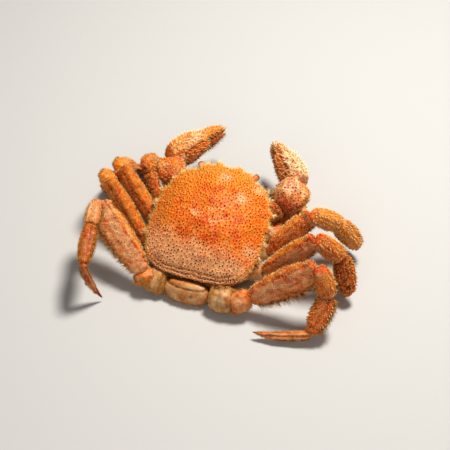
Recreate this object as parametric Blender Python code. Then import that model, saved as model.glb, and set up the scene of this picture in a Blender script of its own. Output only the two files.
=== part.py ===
"""A boiled hairy crab, whole, shell up, resting on its belly.

The shell is one piece, the body below it another, and every joint of every
limb is a piece of its own, as in the animal.  Right is +X, the crab looks
along +Y, up is +Z, and the origin is the middle of the flat of its belly.
"""

from collections import namedtuple
from math import acos, atan2, cos, exp, pi, radians, sin

import bmesh
import bpy
from mathutils import Matrix, Vector

MM = 0.001
GAP = 0.3 * MM
# How far a faceted cutter swells so that its flats still leave the gap.
SOCKET_SWELL = 1.3 * GAP

# The shell, measured in its own plane, which is tipped nose up.
SHELL_HALF_WIDTH = 45.5 * MM
SHELL_FRONT = 49.0 * MM
SHELL_REAR = 51.0 * MM
SHELL_FRONT_ROUND = 2.2
SHELL_REAR_ROUND = 3.8
SHELL_DOME = 19.0 * MM
SHELL_UNDERSIDE = 9.0 * MM
SHELL_TIP_UP = radians(15.0)
SHELL_PLACE = Vector((0.0, 4.0, 33.0)) * MM

# Teeth on each side of the margin: bearing from the crab's side towards its
# front in degrees, and how far the tooth stands out in millimetres.
SHELL_TEETH = (
    (-45.0, 0.8), (-25.0, 1.6), (-10.0, 1.2), (5.0, 2.6), (20.0, 3.4),
    (35.0, 2.0), (45.0, 2.8), (60.0, -3.0), (70.0, 1.6), (80.0, 3.6),
)
TOOTH_HALF_ANGLE = 5.0

# Swellings of the shell: place across and along, spread across and along, and
# height, in millimetres.  Those off the middle line are made on both sides.
SHELL_SWELLINGS = (
    (0.0, 20.0, 13.0, 13.0, 2.6), (0.0, -12.0, 9.0, 10.0, 2.2),
    (29.0, -4.0, 12.0, 17.0, 2.2), (27.0, 26.0, 9.0, 8.0, 1.2),
    (13.0, 3.0, 4.0, 9.0, -1.4), (0.0, -34.0, 10.0, 6.0, 1.0),
)

# The body under the shell, and the flat that it rests on.
BODY_HALF_WIDTH = 38.5 * MM
BODY_HALF_LENGTH = 44.0 * MM
BODY_HALF_HEIGHT = 25.0 * MM
BODY_PLACE = Vector((0.0, -1.0, 19.0)) * MM
BODY_TIP_UP = radians(11.0)
BODY_FRONT_NARROWING = 0.30
BODY_REAR_WIDENING = 0.40

# Sides and rows of the faceted pieces.
SHELL_FACETS = (72, 12)
# How far the shell's rows are drawn in from its margin towards its middle.
SHELL_ROW_SPREAD = 1.25
BODY_FACETS = (20, 8)
LONG_FACETS = (10, 7)
SHORT_FACETS = (10, 5)
FLAP_FACETS = (14, 6)
STUB_FACETS = (8, 5)
TIP_FACETS = (7, 6)

# One joint of a limb: its length in millimetres, and its heading and pitch in
# degrees.  A heading of 0 is the crab's right, 90 is straight ahead.
Reach = namedtuple("Reach", "length heading pitch")

# A walking leg: where the hip leaves the body and where the long joint
# starts, in millimetres, then its four free joints, and how far the flat of
# the leg leans back from upright in degrees.
Leg = namedtuple("Leg", "root hip merus carpus propodus dactylus lean")

LEGS = {
    "leg_left_1": Leg(
        (-32, 15, 16), (-47, 13, 17), Reach(40, 125, 37), Reach(20, 108, -48),
        Reach(28, 98, -40), Reach(30, 35, -10), 20),
    "leg_left_2": Leg(
        (-33, -1, 14), (-46, 2, 18), Reach(53, 147, 32), Reach(22, 108, -50),
        Reach(31, 95, -43), Reach(36, 4, -7), 25),
    "leg_left_3": Leg(
        (-31, -18, 10), (-45, -20, 15), Reach(62, 147, 34), Reach(22, 108, -50),
        Reach(33, 102, -49), Reach(40, 15, -6), 25),
    "leg_left_4": Leg(
        (-20, -46, 8.5), (-38, -47.5, 17), Reach(64, 149, 31), Reach(22, -81, -8),
        Reach(34, -77, -7), Reach(42, 10, -74), 58),
    "leg_right_1": Leg(
        (32, 15, 15), (46, 15, 16), Reach(38, 72, -4), Reach(17, 108, -12),
        Reach(25, 106, -8), Reach(27, 122, -5), 65),
    "leg_right_2": Leg(
        (33, -3, 14), (48, 1, 17), Reach(48, 38, 38), Reach(25, 18, -31),
        Reach(25, 0, -50), Reach(30, 150, -12), 25),
    "leg_right_3": Leg(
        (31, -19, 11), (51, -18, 16), Reach(53, 23, 41), Reach(27, 6, -43),
        Reach(28, -55, -50), Reach(34, 125, -6), 20),
    "leg_right_4": Leg(
        (17, -48, 10), (48, -45, 15), Reach(62, 18, 35), Reach(24, -40, -60),
        Reach(30, -105, -42), Reach(45, -167, -4), 34),
}

# The hindmost legs show two joints between the body and the long one: where
# the first of them ends, in millimetres, and their breadth and thickness.
REAR_LEG_JOINTS = 6
REAR_COXA_END = {"leg_left_4": (-35.5, -48, 10.5), "leg_right_4": (37, -50.5, 12)}
REAR_COXA_BREADTH = (20.0, 21.5, 16.0)
REAR_COXA_THICKNESS = {"leg_left_4": 14.5, "leg_right_4": 17.5}
REAR_JOINT_BLUNTNESS = 0.2
ISCHIUM_BREADTH = (15.0, 18.0, 14.0)
ISCHIUM_THICKNESS = 14.5

# Breadths of a leg's joints at the start, the middle and the end, and their
# thickness, in millimetres.
MERUS_BREADTH = (12.0, 18.0, 18.5)
FRONT_MERUS_BREADTH = (11.0, 15.0, 14.0)
REAR_MERUS_BREADTH = (15.0, 23.5, 22.0)
MERUS_THICKNESS = 11.0
CARPUS_BREADTH = (12.0, 16.5, 16.0)
CARPUS_THICKNESS = 12.5
PROPODUS_BREADTH = (14.0, 16.0, 11.5)
PROPODUS_THICKNESS = 10.5
DACTYLUS_BREADTH = (8.5, 7.0, 1.6)
DACTYLUS_THICKNESS = 7.0
DACTYLUS_BOW = 2.5 * MM
HIP_BREADTH = (12.0, 14.5, 12.0)
HIP_THICKNESS = 13.0
# How deep a joint sits in the one before it: a broad head and a slim one.
HEAD_DEPTH = 3.0
SLIM_HEAD_DEPTH = 2.0
# Legs whose joints beyond the long one are slimmer, as a share of the usual.
SLIMNESS = {"leg_left_4": 0.8}

# A claw: where its arm leaves the body and its elbow, in millimetres, then
# its wrist joint and its palm, how far the palm leans back in degrees, the
# length of its fingers beyond the palm, and the wrist's middle breadth, in
# millimetres.
Claw = namedtuple("Claw", "root elbow wrist palm lean fingers wrist_breadth")

CLAWS = {
    "claw_left": Claw(
        (-26, 27, 20), (-43, 34.5, 30), Reach(22, 110, 30), Reach(35, 60, -7), 8,
        27, 24),
    "claw_right": Claw(
        (26, 27, 20), (50, 36, 32), Reach(25, 76, 12), Reach(33, 131, -3), 20,
        20, 29),
}
ARM_BREADTH = (14.0, 17.0, 15.0)
ARM_THICKNESS = 15.0
WRIST_START_BREADTH = 13.0
WRIST_END_BREADTH = 23.0
WRIST_SLIMNESS = 1.0
PALM_BREADTH = (25.0, 29.0, 17.0)
PALM_THICKNESS = 19.0
FINGER_BREADTH = (11.5, 9.0, 1.6)
FINGER_THICKNESS = 9.5
FINGER_SPREAD = 3.9 * MM
FINGER_TIP_SPREAD = 1.3 * MM
FINGER_BOW = 1.8 * MM
# How far behind the knuckle the two fingers start.
FIXED_FINGER_ROOT = 8.0
FINGER_ROOT = 9.0

# Eyes, mouth plates and the tail flap at the back, in millimetres.
EYE_PLACE = Vector((19.0, 43.0, 41.5)) * MM
EYE_HEADING = 60.0
EYE_PITCH = 12.0
EYE_LENGTH = 11.0 * MM
EYE_BREADTH = (4.5, 5.5, 6.0)
MOUTH_TOP = Vector((6.6, 43.5, 35.0)) * MM
MOUTH_FOOT = Vector((5.6, 38.0, 17.0)) * MM
MOUTH_BREADTH = (11.5, 12.0, 8.0)
MOUTH_THICKNESS = 6.0
FLAP_TOP = Vector((-2.0, -45.0, 15.0)) * MM
FLAP_FOOT = Vector((-2.0, -53.0, 1.6)) * MM
FLAP_BREADTH = (32.0, 37.0, 30.0)
FLAP_THICKNESS = 11.0

SHELL_COLOUR = (0.72, 0.22, 0.06, 1.0)
LIMB_COLOUR = (0.70, 0.26, 0.12, 1.0)
BELLY_COLOUR = (0.78, 0.52, 0.32, 1.0)
FINGER_COLOUR = (0.45, 0.09, 0.04, 1.0)
EYE_COLOUR = (0.09, 0.05, 0.03, 1.0)


def clear_scene():
    for thing in list(bpy.data.objects):
        bpy.data.objects.remove(thing, do_unlink=True)


def new_collection(name):
    collection = bpy.data.collections.new(name)
    bpy.context.scene.collection.children.link(collection)
    return collection


def shell_material(name, colour, roughness):
    material = bpy.data.materials.new(name)
    material.use_nodes = True
    principled = material.node_tree.nodes["Principled BSDF"]
    principled.inputs["Base Color"].default_value = colour
    principled.inputs["Roughness"].default_value = roughness
    principled.inputs["Metallic"].default_value = 0.0
    return material


def add_piece(name, shape, material):
    """Turn a finished bmesh into a smooth shaded object of the crab."""
    mesh = bpy.data.meshes.new(name)
    shape.to_mesh(mesh)
    shape.free()
    mesh.materials.append(material)
    mesh.shade_smooth()
    piece = bpy.data.objects.new(name, mesh)
    crab.objects.link(piece)
    return piece


def ball(facets):
    shape = bmesh.new()
    bmesh.ops.create_uvsphere(
        shape, u_segments=facets[0], v_segments=facets[1], radius=1.0)
    return shape


def towards(heading, pitch):
    """Unit vector of a heading and a pitch in degrees."""
    turn = radians(heading)
    rise = radians(pitch)
    return Vector((cos(rise) * cos(turn), cos(rise) * sin(turn), sin(rise)))


def along(start, reach):
    return start + towards(reach.heading, reach.pitch) * reach.length * MM


def three_point(values, share):
    """Smooth value between those at the start, the middle and the end."""
    first, middle, last = values
    return (
        first * (1.0 - share) * (1.0 - 2.0 * share)
        + middle * 4.0 * share * (1.0 - share)
        + last * share * (2.0 * share - 1.0))


def oval_rod(start, end, flat, breadth, thickness, facets, bow=0.0, blunt=0.28):
    """Closed oval rod from start to end, its flat side facing along flat.

    breadth holds three values in millimetres, thickness one.  bow lifts the
    middle of the rod within its broad plane.
    """
    shape = ball(facets)
    axis = (end - start).normalized()
    broad = flat.cross(axis).normalized()
    thin = broad.cross(axis)
    length = (end - start).length
    for vert in shape.verts:
        polar = acos(max(-1.0, min(1.0, vert.co.z)))
        turn = atan2(vert.co.y, vert.co.x)
        share = (1.0 - cos(polar)) / 2.0
        fullness = sin(polar) ** blunt if sin(polar) > 1e-6 else 0.0
        half_breadth = three_point(breadth, share) * MM / 2.0 * fullness
        slimming = min(1.0, three_point(breadth, share) / thickness)
        half_thick = thickness * slimming * MM / 2.0 * fullness
        vert.co = (
            start + axis * length * share
            + broad * (half_breadth * cos(turn) + bow * sin(pi * share))
            + thin * half_thick * sin(turn))
    return shape


def add_socket(host, insert):
    """Hollow host where insert sits in it, leaving the gap between them."""
    cutter = bpy.data.objects.new("clear_" + insert.name, insert.data.copy())
    cutter.matrix_world = insert.matrix_world
    clearances.objects.link(cutter)
    cutter.hide_render = True
    cutter.display_type = "WIRE"
    swell = cutter.modifiers.new("swell", "DISPLACE")
    swell.strength = SOCKET_SWELL
    swell.mid_level = 0.0
    hollow = host.modifiers.new("socket_" + insert.name, "BOOLEAN")
    hollow.operation = "DIFFERENCE"
    hollow.solver = "EXACT"
    hollow.object = cutter


def shell_margin(bearing):
    """Distance from the shell's middle to its margin, teeth left out."""
    across = abs(cos(bearing))
    ahead = abs(sin(bearing))
    if sin(bearing) >= 0.0:
        reach, power = SHELL_FRONT, SHELL_FRONT_ROUND
    else:
        reach, power = SHELL_REAR, SHELL_REAR_ROUND
    size = (across / SHELL_HALF_WIDTH) ** power + (ahead / reach) ** power
    return size ** (-1.0 / power)


def tooth_height(bearing):
    """How far the teeth of the margin stand out at a bearing."""
    side_bearing = atan2(sin(bearing), abs(cos(bearing))) * 180.0 / pi
    height = 0.0
    for tooth_bearing, rise in SHELL_TEETH:
        nearness = 1.0 - abs(side_bearing - tooth_bearing) / TOOTH_HALF_ANGLE
        height += max(0.0, nearness) * rise
    return height * MM


def swelling_height(x, y):
    height = 0.0
    for across, ahead, wide, long, rise in SHELL_SWELLINGS:
        for middle in {across, -across}:
            dx = (x / MM - middle) / wide
            dy = (y / MM - ahead) / long
            height += rise * exp(-dx * dx - dy * dy)
    return height * MM


def make_shell():
    shape = ball(SHELL_FACETS)
    for vert in shape.verts:
        bearing = atan2(vert.co.y, vert.co.x)
        out = min(1.0, Vector((vert.co.x, vert.co.y)).length) ** SHELL_ROW_SPREAD
        radius = shell_margin(bearing) * out + tooth_height(bearing) * out ** 9
        x = radius * cos(bearing)
        y = radius * sin(bearing)
        if vert.co.z > 1e-4:
            top = SHELL_DOME * (1.0 - out ** 2.5)
            z = top + swelling_height(x, y) * (1.0 - out ** 6)
        elif vert.co.z < -1e-4:
            z = -SHELL_UNDERSIDE * (1.0 - out ** 8)
        else:
            z = 0.0
        vert.co = (x, y, z)
    tip = Matrix.Rotation(SHELL_TIP_UP, 4, "X")
    bmesh.ops.transform(
        shape, matrix=Matrix.Translation(SHELL_PLACE) @ tip, verts=shape.verts)
    return add_piece("carapace", shape, shell_look)


def slice_flat(shape, point, outward):
    """Cut off all that lies outward of a plane and close the cut."""
    cut = bmesh.ops.bisect_plane(
        shape, geom=shape.verts[:] + shape.edges[:] + shape.faces[:],
        plane_co=point, plane_no=outward, clear_outer=True)
    rim = [item for item in cut["geom_cut"] if isinstance(item, bmesh.types.BMEdge)]
    bmesh.ops.edgeloop_fill(shape, edges=rim)
    bmesh.ops.recalc_face_normals(shape, faces=shape.faces)


def make_body():
    shape = ball(BODY_FACETS)
    for vert in shape.verts:
        x, y, z = vert.co
        narrowing = 1.0 - BODY_FRONT_NARROWING * max(0.0, y) ** 2
        narrowing += BODY_REAR_WIDENING * min(0.0, y) ** 2
        square = abs(x) ** 0.75 * (1.0 if x >= 0.0 else -1.0)
        vert.co = (
            square * narrowing * BODY_HALF_WIDTH, y * BODY_HALF_LENGTH,
            z * BODY_HALF_HEIGHT)
    tip = Matrix.Rotation(BODY_TIP_UP, 4, "X")
    bmesh.ops.transform(
        shape, matrix=Matrix.Translation(BODY_PLACE) @ tip, verts=shape.verts)
    shell_up = Vector((0.0, -sin(SHELL_TIP_UP), cos(SHELL_TIP_UP)))
    roof = SHELL_PLACE - shell_up * (SHELL_UNDERSIDE + GAP)
    slice_flat(shape, roof, shell_up)
    slice_flat(shape, Vector((0.0, 0.0, 0.0)), Vector((0.0, 0.0, -1.0)))
    return add_piece("thorax", shape, belly_look)


def leg_flat(leg, side):
    """Direction that the flat of a leg faces: backwards, leaning up."""
    long_axis = towards(leg.merus.heading, leg.merus.pitch)
    back = Vector((long_axis.y, -long_axis.x, 0.0)).normalized() * side
    up = back.cross(long_axis) * side * -1.0
    if up.z < 0.0:
        up.negate()
    return back * cos(radians(leg.lean)) + up * sin(radians(leg.lean))


def make_leg(name, leg):
    side = -1.0 if "left" in name else 1.0
    flat = leg_flat(leg, side)
    root = Vector(leg.root) * MM
    hip = Vector(leg.hip) * MM
    knee = along(hip, leg.merus)
    shin = along(knee, leg.carpus)
    ankle = along(shin, leg.propodus)
    toe = along(ankle, leg.dactylus)

    def head(start, end, depth):
        return start - (end - start).normalized() * depth * MM

    if name in REAR_COXA_END:
        merus_breadth = REAR_MERUS_BREADTH
        coxa_end = Vector(REAR_COXA_END[name]) * MM
        stubs = (
            ("coxa", oval_rod(
                root, coxa_end, flat, REAR_COXA_BREADTH, REAR_COXA_THICKNESS[name],
                SHORT_FACETS, blunt=REAR_JOINT_BLUNTNESS)),
            ("ischium", oval_rod(
                head(coxa_end, hip, HEAD_DEPTH), hip, flat, ISCHIUM_BREADTH,
                ISCHIUM_THICKNESS, STUB_FACETS, blunt=REAR_JOINT_BLUNTNESS)),
        )
    else:
        merus_breadth = FRONT_MERUS_BREADTH if name.endswith("1") else MERUS_BREADTH
        stubs = (
            ("coxa", oval_rod(
                root, hip, flat, HIP_BREADTH, HIP_THICKNESS, STUB_FACETS)),
        )
    slim = SLIMNESS.get(name, 1.0)

    def slimmed(breadth):
        return tuple(value * slim for value in breadth)

    pieces = []
    shapes = stubs + (
        ("merus", oval_rod(
            head(hip, knee, SLIM_HEAD_DEPTH), knee, flat, merus_breadth, MERUS_THICKNESS,
            LONG_FACETS)),
        ("carpus", oval_rod(
            head(knee, shin, HEAD_DEPTH), shin, flat, slimmed(CARPUS_BREADTH),
            CARPUS_THICKNESS * slim, SHORT_FACETS)),
        ("propodus", oval_rod(
            head(shin, ankle, HEAD_DEPTH), ankle, flat, slimmed(PROPODUS_BREADTH),
            PROPODUS_THICKNESS * slim, LONG_FACETS)),
        ("dactylus", oval_rod(
            head(ankle, toe, SLIM_HEAD_DEPTH), toe, flat, slimmed(DACTYLUS_BREADTH),
            DACTYLUS_THICKNESS * slim, TIP_FACETS, bow=DACTYLUS_BOW * side)),
    )
    for joint, shape in shapes:
        pieces.append(add_piece(name + "_" + joint, shape, limb_look))
    for host, insert in zip(pieces, pieces[1:]):
        add_socket(host, insert)
    return pieces


def make_claw(name, claw):
    side = -1.0 if "left" in name else 1.0
    root = Vector(claw.root) * MM
    elbow = Vector(claw.elbow) * MM
    wrist = along(elbow, claw.wrist)
    knuckle = along(wrist, claw.palm)
    ahead = (knuckle - wrist).normalized()
    outward = Vector((ahead.y, -ahead.x, 0.0)) * -side
    lean = radians(claw.lean)
    flat = outward * cos(lean) + Vector((0.0, 0.0, 1.0)) * sin(lean)
    broad = flat.cross(ahead).normalized()
    if broad.z < 0.0:
        broad.negate()
    tip = knuckle + ahead * claw.fingers * MM

    def finger(lift, back):
        start = knuckle - ahead * back * MM + broad * FINGER_SPREAD * lift
        end = tip + broad * FINGER_TIP_SPREAD * lift
        sign = 1.0 if flat.cross(ahead).z >= 0.0 else -1.0
        return oval_rod(
            start, end, flat, FINGER_BREADTH, FINGER_THICKNESS, TIP_FACETS,
            bow=FINGER_BOW * lift * sign)

    arm = add_piece(name + "_arm", oval_rod(
        root, elbow, flat, ARM_BREADTH, ARM_THICKNESS, STUB_FACETS), limb_look)
    carpus = add_piece(name + "_carpus", oval_rod(
        elbow - (wrist - elbow).normalized() * HEAD_DEPTH * MM, wrist, flat,
        (WRIST_START_BREADTH, claw.wrist_breadth, WRIST_END_BREADTH),
        claw.wrist_breadth * WRIST_SLIMNESS, SHORT_FACETS), limb_look)
    palm = add_piece(name + "_palm", oval_rod(
        wrist - ahead * HEAD_DEPTH * MM, knuckle + ahead * SLIM_HEAD_DEPTH * MM, flat,
        PALM_BREADTH, PALM_THICKNESS, LONG_FACETS), limb_look)
    fixed = add_piece(name + "_fixed_finger", finger(1.0, FIXED_FINGER_ROOT), limb_look)
    moving = add_piece(name + "_finger", finger(-1.0, FINGER_ROOT), finger_look)

    crab.objects.unlink(fixed)
    clearances.objects.link(fixed)
    fixed.hide_render = True
    fixed.display_type = "WIRE"
    weld = palm.modifiers.new("fixed_finger", "BOOLEAN")
    weld.operation = "UNION"
    weld.solver = "EXACT"
    weld.object = fixed
    add_socket(palm, moving)
    add_socket(carpus, palm)
    add_socket(arm, carpus)
    return [arm, carpus, palm, moving]


def make_pair(name, make):
    return [make(name + "_left", -1.0), make(name + "_right", 1.0)]


def mirrored(point, side):
    return Vector((point.x * side, point.y, point.z))


def make_eye(name, side):
    start = mirrored(EYE_PLACE, side)
    heading = EYE_HEADING if side > 0.0 else 180.0 - EYE_HEADING
    end = start + towards(heading, EYE_PITCH) * EYE_LENGTH
    shape = oval_rod(
        start, end, Vector((0.0, 0.0, 1.0)), EYE_BREADTH, EYE_BREADTH[1],
        TIP_FACETS)
    return add_piece(name, shape, eye_look)


def make_mouth_plate(name, side):
    shape = oval_rod(
        mirrored(MOUTH_TOP, side), mirrored(MOUTH_FOOT, side),
        Vector((0.0, 1.0, 0.0)), MOUTH_BREADTH, MOUTH_THICKNESS, STUB_FACETS)
    return add_piece(name, shape, belly_look)


def make_flap():
    shape = oval_rod(
        FLAP_TOP, FLAP_FOOT, Vector((0.0, -1.0, 0.0)), FLAP_BREADTH,
        FLAP_THICKNESS, FLAP_FACETS)
    return add_piece("abdomen", shape, belly_look)


clear_scene()
crab = new_collection("cooked_crab")
clearances = new_collection("clearances")
shell_look = shell_material("boiled_shell", SHELL_COLOUR, 0.45)
limb_look = shell_material("boiled_limb_shell", LIMB_COLOUR, 0.45)
belly_look = shell_material("pale_belly_shell", BELLY_COLOUR, 0.5)
finger_look = shell_material("horny_finger", FINGER_COLOUR, 0.35)
eye_look = shell_material("eye", EYE_COLOUR, 0.2)

carapace = make_shell()
thorax = make_body()
abdomen = make_flap()
eyes = make_pair("eye", make_eye)
mouth_plates = make_pair("mouth_plate", make_mouth_plate)
legs = [make_leg(name, leg) for name, leg in LEGS.items()]
claws = [make_claw(name, claw) for name, claw in CLAWS.items()]

for eye in eyes:
    add_socket(carapace, eye)
add_socket(thorax, abdomen)
for leg in legs:
    if len(leg) == REAR_LEG_JOINTS:
        add_socket(abdomen, leg[0])
for plate in mouth_plates:
    add_socket(thorax, plate)
for limb in legs + claws:
    add_socket(thorax, limb[0])
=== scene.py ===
"""Looks of a boiled hairy crab: skin, warts, spines, bristles and colour."""
from itertools import product
from math import cos, pi, radians, sin

import bpy
import numpy as np
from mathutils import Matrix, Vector, noise
from mathutils.bvhtree import BVHTree


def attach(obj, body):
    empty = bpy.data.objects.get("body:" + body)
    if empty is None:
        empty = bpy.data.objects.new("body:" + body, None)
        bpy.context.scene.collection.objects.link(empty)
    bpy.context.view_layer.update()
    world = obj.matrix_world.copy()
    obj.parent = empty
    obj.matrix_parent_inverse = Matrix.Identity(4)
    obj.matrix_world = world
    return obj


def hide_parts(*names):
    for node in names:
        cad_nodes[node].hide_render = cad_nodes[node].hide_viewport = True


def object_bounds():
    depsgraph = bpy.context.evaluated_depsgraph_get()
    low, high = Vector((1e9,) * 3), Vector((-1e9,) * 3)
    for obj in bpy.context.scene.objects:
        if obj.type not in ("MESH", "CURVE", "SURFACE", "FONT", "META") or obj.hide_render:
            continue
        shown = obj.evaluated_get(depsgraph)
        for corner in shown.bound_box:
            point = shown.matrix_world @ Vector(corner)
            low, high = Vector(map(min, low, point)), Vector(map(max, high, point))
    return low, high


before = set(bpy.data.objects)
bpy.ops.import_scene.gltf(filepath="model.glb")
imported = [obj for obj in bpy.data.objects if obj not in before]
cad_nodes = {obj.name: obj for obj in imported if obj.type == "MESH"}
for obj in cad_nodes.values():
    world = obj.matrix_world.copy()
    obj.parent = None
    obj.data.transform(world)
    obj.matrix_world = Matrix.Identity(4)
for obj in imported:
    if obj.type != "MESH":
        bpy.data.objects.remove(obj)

MM = 0.001
SEED = 11
# Corners of the CAD mesh closer together than this are one corner.
MERGE_GAP = 0.01 * MM

cad_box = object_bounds()
scene = bpy.context.scene

# The shell lies tipped nose up about this place in the middle of its rim.
SHELL_TIP_UP = radians(15.0)
SHELL_PLACE = np.array((0.0, 4.0, 33.0)) * MM


# ---------------- tools

def select_only(*pieces):
    bpy.ops.object.select_all(action="DESELECT")
    for piece in pieces:
        piece.select_set(True)
    bpy.context.view_layer.objects.active = pieces[0]


def apply_modifier(piece, kind, **settings):
    modifier = piece.modifiers.new(kind.lower(), kind)
    for name, value in settings.items():
        setattr(modifier, name, value)
    select_only(piece)
    bpy.ops.object.modifier_apply(modifier=modifier.name)


def edit_all(piece):
    select_only(piece)
    bpy.ops.object.mode_set(mode="EDIT")
    bpy.ops.mesh.select_all(action="SELECT")


def leave_edit():
    bpy.ops.object.mode_set(mode="OBJECT")


def triples(items, name, number_kind):
    """Rows of three numbers, one for each item of a mesh."""
    flat = np.zeros(len(items) * 3, number_kind)
    items.foreach_get(name, flat)
    return flat.reshape(-1, 3)


def places_of(mesh):
    return triples(mesh.vertices, "co", np.float32).astype(float)


def normals_of(mesh):
    return triples(mesh.vertex_normals, "vector", np.float32).astype(float)


def put_places(mesh, places):
    mesh.vertices.foreach_set("co", places.astype(np.float32).ravel())
    mesh.update()


def triangles_of(mesh):
    mesh.calc_loop_triangles()
    return triples(mesh.loop_triangles, "vertices", np.int32)


def keep_values(mesh, name, values):
    attribute = mesh.attributes.new(name, "FLOAT", "POINT")
    attribute.data.foreach_set("value", np.asarray(values, np.float32))


def smooth_step(low, high, values):
    share = np.clip((np.asarray(values, float) - low) / (high - low), 0.0, 1.0)
    return share * share * (3.0 - 2.0 * share)


def bell(values, middle, width):
    return np.exp(-((values - middle) / width) ** 2)


def lumps(places, size, offset=0.0):
    """Smooth noise from -1 to 1 whose lumps are about size millimetres across."""
    shift = Vector((offset, offset * 1.7, -offset))
    return np.array([
        noise.noise(Vector(place) / (size * MM) + shift) for place in places])


# ---------------- skins

def skin_of(node, grain, rounds):
    """Even-grained copy of a CAD node with its flats rounded off."""
    piece = bpy.data.objects.new(node + "_skin", cad_nodes[node].data.copy())
    scene.collection.objects.link(piece)
    edit_all(piece)
    bpy.ops.mesh.remove_doubles(threshold=MERGE_GAP)
    leave_edit()
    apply_modifier(piece, "REMESH", mode="VOXEL", voxel_size=grain, use_smooth_shade=True)
    apply_modifier(piece, "SMOOTH", factor=0.5, iterations=rounds)
    piece.data.materials.clear()
    return piece


def raise_skin(piece, relief):
    """Push a skin out by relief in millimetres, never below the ground."""
    places = places_of(piece.data) + normals_of(piece.data) * relief[:, None] * MM
    places[:, 2] = np.maximum(places[:, 2], 0.0)
    put_places(piece.data, places)


def own_axes(places, root, upper, ahead=None):
    """A limb joint's middle and its long, broad and thin axes.

    The long axis leads away from root, the broad one towards upper, and the
    thin one out of the limb's upper face.  A joint as thick as it is long
    needs ahead, the place that it leads to.
    """
    middle = places.mean(0)
    if ahead is None:
        spread = np.cov((places - middle).T)
        axes = np.linalg.eigh(spread)[1]
        long_axis, broad, thin = axes[:, 2], axes[:, 1], axes[:, 0]
    else:
        long_axis = (ahead - root) / np.linalg.norm(ahead - root)
        broad = upper - (upper @ long_axis) * long_axis
        broad /= np.linalg.norm(broad)
        thin = np.cross(long_axis, broad)
    if (middle - root) @ long_axis < 0.0:
        long_axis = -long_axis
    if broad @ upper < 0.0:
        broad = -broad
    if thin @ VIEWED_SIDE < 0.0:
        thin = -thin
    return middle, long_axis, broad, thin


def joint_shares(places, axes):
    """Share along a joint, and -1 to 1 across its breadth and thickness."""
    middle, long_axis, broad, thin = axes
    offsets = places - middle
    along = offsets @ long_axis
    share = (along - along.min()) / (along.max() - along.min())
    across = offsets @ broad
    through = offsets @ thin
    return share, across / np.abs(across).max(), through / np.abs(through).max()


def paint(mesh, gold, pale, red, dark):
    for name, values in (("gold", gold), ("pale", pale), ("red", red), ("dark", dark)):
        keep_values(mesh, name, np.clip(values, 0.0, 1.0))


# ---------------- shell

# Grooves of the shell as runs of points across and along it, in millimetres,
# each with its width and depth.
SHELL_GROOVES = (
    (((-13, -2), (-9, -5), (-2, -6), (3, -8), (9, -7), (15, -4)), 1.2, 0.6),
    (((6, -8), (8, -13), (11, -19)), 1.2, 0.6), (((0, 1), (7, 4), (12, 6)), 1.1, 0.55),
    (((-6, 3), (-12, 6)), 1.0, 0.4), (((13, -3), (24, 3), (33, 18)), 2.0, 0.35),
    (((-13, -1), (-24, 3), (-33, 18)), 2.0, 0.35),
    (((-11, -24), (0, -27), (11, -24)), 1.8, 0.3), (((0, 26), (0, 44)), 2.2, 0.7),
)
# Red blotches: across and along, and radius, in millimetres.
SHELL_BLOTCHES = (
    (0, -9, 3.2), (-12, -21, 4.6), (11, -20, 4.6), (1, 8, 3.2), (24, 0, 2.8),
    (-9, 21, 2.8), (-24, 3, 2.8), (14, 0, 2.8), (3, 20, 3.0), (14, 21, 2.8),
    (-11, 0, 2.2), (-10, -13, 3.0), (23, -11, 3.0), (27, -14, 2.6), (19, 10, 2.4),
    (-18, -19, 3.0), (5, -23, 3.2),
)
# Whitish places where the bristles are pale.
SHELL_PALE_PLACES = (
    (30, 33, 4.5), (39, -20, 5.0), (21, 18, 5.0), (28, -38, 5.5), (36, -37, 4.5),
    (-9, -46, 6.5), (-20, -46, 4.5), (3, 34, 4.2), (15, -46, 5.5), (17, -41, 4.5),
    (-26, -43, 5.0), (-34, -36, 4.5), (-3, -41, 4.5), (-9, -4, 2.8),
)
# Angles of the shell's side teeth, from straight ahead round to the back.
TOOTH_ANGLES = (5, 24, 41, 57, 70, 80, 88, 100, 112)
# Half the shell's width, and how far it reaches back from SHELL_PLACE, in
# millimetres.
SHELL_HALF_WIDTH = 46.0
SHELL_BACK = 51.0
# Rounds of smoothing that take the CAD mesh's facets off the shell's top.
TOP_ROUNDS = 70


def shell_plane(places):
    """Places across, along and above the shell's own tipped plane."""
    offsets = places - SHELL_PLACE
    across = offsets[:, 0]
    along = offsets[:, 1] * cos(SHELL_TIP_UP) + offsets[:, 2] * sin(SHELL_TIP_UP)
    above = offsets[:, 2] * cos(SHELL_TIP_UP) - offsets[:, 1] * sin(SHELL_TIP_UP)
    return across / MM, along / MM, above / MM


def run_distance(across, along, run):
    """Distance in the shell's plane from a run of points."""
    nearest = np.full(len(across), 1e9)
    for (x0, y0), (x1, y1) in zip(run, run[1:]):
        dx, dy = x1 - x0, y1 - y0
        share = ((across - x0) * dx + (along - y0) * dy) / (dx * dx + dy * dy)
        share = np.clip(share, 0.0, 1.0)
        gap = np.hypot(across - x0 - share * dx, along - y0 - share * dy)
        nearest = np.minimum(nearest, gap)
    return nearest


def nearness(across, along, spots):
    """0 to 1: how near places in the shell's plane are to any of the spots."""
    near = np.zeros(len(across))
    for x, y, radius in spots:
        near = np.maximum(near, bell(np.hypot(across - x, along - y), 0.0, radius))
    return near


def back_margin_gap(across, along):
    """Distance inwards from the shell's back margin, in millimetres."""
    half_width, power = SHELL_HALF_WIDTH - 0.5, 3.8
    size = (np.abs(across) / half_width) ** power
    size += (np.abs(along) / SHELL_BACK) ** power
    radius = np.hypot(across, along)
    return radius * (np.maximum(size, 1e-9) ** (-1.0 / power) - 1.0)


def rear_fade(across, along):
    """0 on the bright front of the shell, 1 on its pale rear, sooner on the left."""
    return smooth_step(-12.0, -40.0, along + 0.17 * across)


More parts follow.
